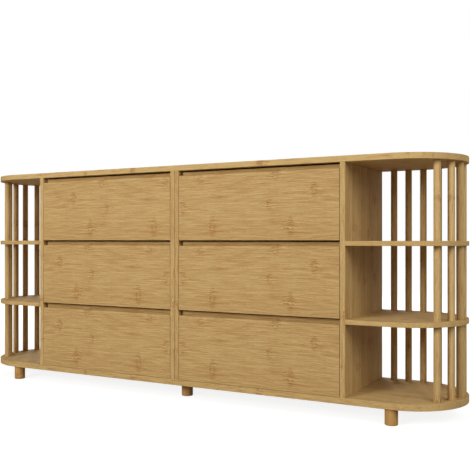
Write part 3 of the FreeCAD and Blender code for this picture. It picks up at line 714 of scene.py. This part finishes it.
class SIDEBOARD_OT_stage(bpy.types.Operator):
    """Set up the floor, the studio light and the camera"""

    bl_idname = "sideboard.stage"
    bl_label = "Stage"

    def execute(self, context):
        stage = context.scene.sideboard_stage
        context.scene.view_settings.view_transform = "Standard"
        self.world(context, stage)
        self.floor(context)
        for name, (place, size) in LAMPS.items():
            self.lamp(context, name, place, size, getattr(stage, f"{name}_power"))
        self.camera(context, stage)
        return {"FINISHED"}

    def seen(self, tree):
        """1 for rays that show the background itself, from the camera or in a gloss."""
        rays = add(tree, "ShaderNodeLightPath").outputs
        seen = add(tree, "ShaderNodeMath", {0: rays["Is Camera Ray"], 1: rays["Is Glossy Ray"]},
                   operation="MAXIMUM")
        return add(tree, "ShaderNodeMath", {0: seen, 1: rays["Is Transmission Ray"]}, operation="MAXIMUM")

    def world(self, context, stage):
        """White where it is seen, a modest even light otherwise."""
        world = bpy.data.worlds.new("studio")
        context.scene.world = world
        world.use_nodes = True
        tree = world.node_tree
        tree.nodes.clear()
        even = add(tree, "ShaderNodeBackground", {"Color": WHITE, "Strength": stage.ambient})
        white = add(tree, "ShaderNodeBackground", {"Color": WHITE, "Strength": 1.0})
        mixed = add(tree, "ShaderNodeMixShader", {0: self.seen(tree), 1: even, 2: white})
        add(tree, "ShaderNodeOutputWorld", {"Surface": mixed})

    def floor(self, context):
        """A plain pale floor that is seen white and still takes the shadow."""
        half = FLOOR_HALF
        corners = [(-half, -half, 0), (half, -half, 0), (half, half, 0), (-half, half, 0)]
        mesh = bpy.data.meshes.new("floor")
        mesh.from_pydata(corners, [], [(0, 1, 2, 3)])
        material = new_material("matt_floor_paint")
        tree = material.node_tree
        paint = add(tree, "ShaderNodeBsdfDiffuse", {"Color": context.scene.sideboard_colours.floor})
        shade = add(tree, "ShaderNodeBsdfDiffuse", {"Color": FLOOR_SHADE})
        place = add(tree, "ShaderNodeTexCoord").outputs["Object"]
        away = add(tree, "ShaderNodeVectorMath", {0: place}, operation="LENGTH")
        level = add(tree, "ShaderNodeMapRange", {"Value": away, **FLOOR_GLOW}, **SMOOTH)
        glow = add(tree, "ShaderNodeEmission", {"Color": WHITE, "Strength": level})
        shown = add(tree, "ShaderNodeAddShader", {0: shade, 1: glow})
        mixed = add(tree, "ShaderNodeMixShader", {0: self.seen(tree), 1: paint, 2: shown})
        add(tree, "ShaderNodeOutputMaterial", {"Surface": mixed})
        mesh.materials.append(material)
        in_scene("floor", mesh)

    def lamp(self, context, name, place, size, watts):
        """A square soft lamp that looks at the middle of the sideboard."""
        data = bpy.data.lights.new(name, "AREA")
        data.shape = "SQUARE"
        data.size = size
        data.energy = watts
        lamp = bpy.data.objects.new(name, data)
        context.scene.collection.objects.link(lamp)
        middle = (CAD_BOX[0] + CAD_BOX[1]) / 2
        lamp.location = place
        lamp.rotation_euler = (middle - Vector(place)).to_track_quat("-Z", "Y").to_euler()

    def camera(self, context, stage):
        """A level camera, right of the middle."""
        data = bpy.data.cameras.new("camera")
        data.sensor_width = FRAME_WIDTH
        data.lens = stage.lens
        data.shift_y = stage.rise
        camera = bpy.data.objects.new("camera", data)
        context.scene.collection.objects.link(camera)
        camera.location = stage.eye
        camera.rotation_euler = (math.pi / 2, 0, stage.heading)
        context.scene.camera = camera


class SIDEBOARD_OT_boards(bpy.types.Operator):
    """Make the top and base boards and the half-round shelves"""

    bl_idname = "sideboard.boards"
    bl_label = "Boards and shelves"

    def execute(self, context):
        sizes = context.scene.sideboard_sizes
        for side in SIDES:
            for board in ("top_board", "base_board", "upper_shelf", "lower_shelf"):
                eased_piece(f"{side}_{board}", "bamboo_boards", CARCASS, 0.0, sizes.board_seam_ease)
        return {"FINISHED"}


class SIDEBOARD_OT_panels(bpy.types.Operator):
    """Make the upright side panels and the back panels"""

    bl_idname = "sideboard.panels"
    bl_label = "Side and back panels"

    def execute(self, context):
        sizes = context.scene.sideboard_sizes
        for side in SIDES:
            for panel in ("inner_panel", "outer_panel"):
                eased_piece(f"{side}_{panel}", "bamboo_panels", CARCASS, sizes.panel_ease,
                            sizes.panel_seam_ease)
            eased_piece(f"{side}_back_panel", "back_panel_board", CARCASS, sizes.box_ease)
        return {"FINISHED"}


class SIDEBOARD_OT_rods(bpy.types.Operator):
    """Make the round bars of both ends and the turned feet"""

    bl_idname = "sideboard.rods"
    bl_label = "Round bars and feet"

    def execute(self, context):
        sizes = context.scene.sideboard_sizes
        tree = turned_rods_tree()
        bars = [f"{side}_round_bars" for side in SIDES]
        feet = [f"{place}_foot" for place in ("left_front", "left_rear", "right_front", "right_rear",
                                              "centre_front", "centre_rear")]
        kinds = (("round_bars", bars, sizes.rod_ease, "bamboo_turned"),
                 ("turned_feet", feet, sizes.foot_ease, "feet"))
        for name, nodes, ease, finish in kinds:
            solids = [box for node in nodes for box in solids_of(node)]
            low, high = solids[0]
            points = [((a.x + b.x) / 2, (a.y + b.y) / 2, a.z) for a, b in solids]
            repeated(name, tree, points, "bamboo_turned", finish, nodes, Diameter=high.y - low.y,
                     Length=high.z - low.z, Ease=ease, Sides=sizes.rod_sides)
        return {"FINISHED"}


class SIDEBOARD_OT_drawers(bpy.types.Operator):
    """Make the six drawers: fronts, box fronts, sides, backs and bottoms"""

    bl_idname = "sideboard.drawers"
    bl_label = "Drawers"

    def execute(self, context):
        sizes = context.scene.sideboard_sizes
        for drawer in DRAWERS:
            eased_piece(f"{drawer}_front", "bamboo_drawer_fronts", drawer, sizes.edge_ease)
            # The box front takes the darker copy of the front bamboo, painted shade for the recess of the
            # finger gap.
            eased_piece(f"{drawer}_box_front", "bamboo_drawer_fronts", drawer, sizes.box_ease,
                        finish="box_fronts_painted_shade")
            eased_piece(f"{drawer}_sides", "drawer_box_wood", drawer, sizes.box_ease)
            for part in ("back", "bottom"):
                eased_piece(f"{drawer}_{part}", "drawer_box_wood", drawer, sizes.box_ease, finish="crosswise")
        return {"FINISHED"}


class SIDEBOARD_OT_runners(bpy.types.Operator):
    """Make the wooden runners that the drawers slide on"""

    bl_idname = "sideboard.runners"
    bl_label = "Drawer runners"

    def execute(self, context):
        nodes = [f"{side}_drawer_runners" for side in SIDES]
        solids = [box for node in nodes for box in solids_of(node)]
        size = solids[0][1] - solids[0][0]
        points = [((a.x + b.x) / 2, a.y, (a.z + b.z) / 2) for a, b in solids]
        repeated("drawer_runners", milled_strips_tree(), points, "runner_hardwood", "runner_hardwood", nodes,
                 Width=size.x, Height=size.z, Length=size.y, Ease=context.scene.sideboard_sizes.runner_ease)
        return {"FINISHED"}


class SIDEBOARD_OT_fasteners(bpy.types.Operator):
    """Give the hidden dowels, connectors and studs their finish"""

    bl_idname = "sideboard.fasteners"
    bl_label = "Dowels and fasteners"

    def execute(self, context):
        slots = {"panel_dowels": "dowel_beech", "shelf_dowels": "dowel_beech",
                 "seam_connectors": "zinc_plated_steel", "foot_studs": "zinc_plated_steel"}
        for node, slot in slots.items():
            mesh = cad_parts[node].data
            mesh.materials.clear()
            mesh.materials.append(material_of(slot))
        return {"FINISHED"}


OPERATORS = (SIDEBOARD_OT_stage, SIDEBOARD_OT_boards, SIDEBOARD_OT_panels, SIDEBOARD_OT_rods,
             SIDEBOARD_OT_drawers, SIDEBOARD_OT_runners, SIDEBOARD_OT_fasteners)
GROUPS = {"sideboard_sizes": SideboardSizes, "sideboard_colours": SideboardColours,
          "sideboard_stage": SideboardStage}


class SIDEBOARD_PT_panel(bpy.types.Panel):
    """Lists the sideboard's pieces and values"""

    bl_idname = "SIDEBOARD_PT_panel"
    bl_label = "Sideboard"
    bl_space_type = "VIEW_3D"
    bl_region_type = "UI"
    bl_category = "Sideboard"

    def draw(self, context):
        for operator in OPERATORS:
            self.layout.operator(operator.bl_idname)
        for name, kind in GROUPS.items():
            box = self.layout.box()
            for value in kind.__annotations__:
                box.prop(getattr(context.scene, name), value)


CLASSES = (*GROUPS.values(), *OPERATORS, SIDEBOARD_PT_panel)


def register():
    for kind in CLASSES:
        bpy.utils.register_class(kind)
    for name, kind in GROUPS.items():
        setattr(bpy.types.Scene, name, PointerProperty(type=kind))


def unregister():
    for name in GROUPS:
        delattr(bpy.types.Scene, name)
    for kind in reversed(CLASSES):
        bpy.utils.unregister_class(kind)


def main():
    register()
    for operator in OPERATORS:
        getattr(bpy.ops.sideboard, operator.bl_idname.split(".")[1])()


if __name__ == "__main__":
    main()
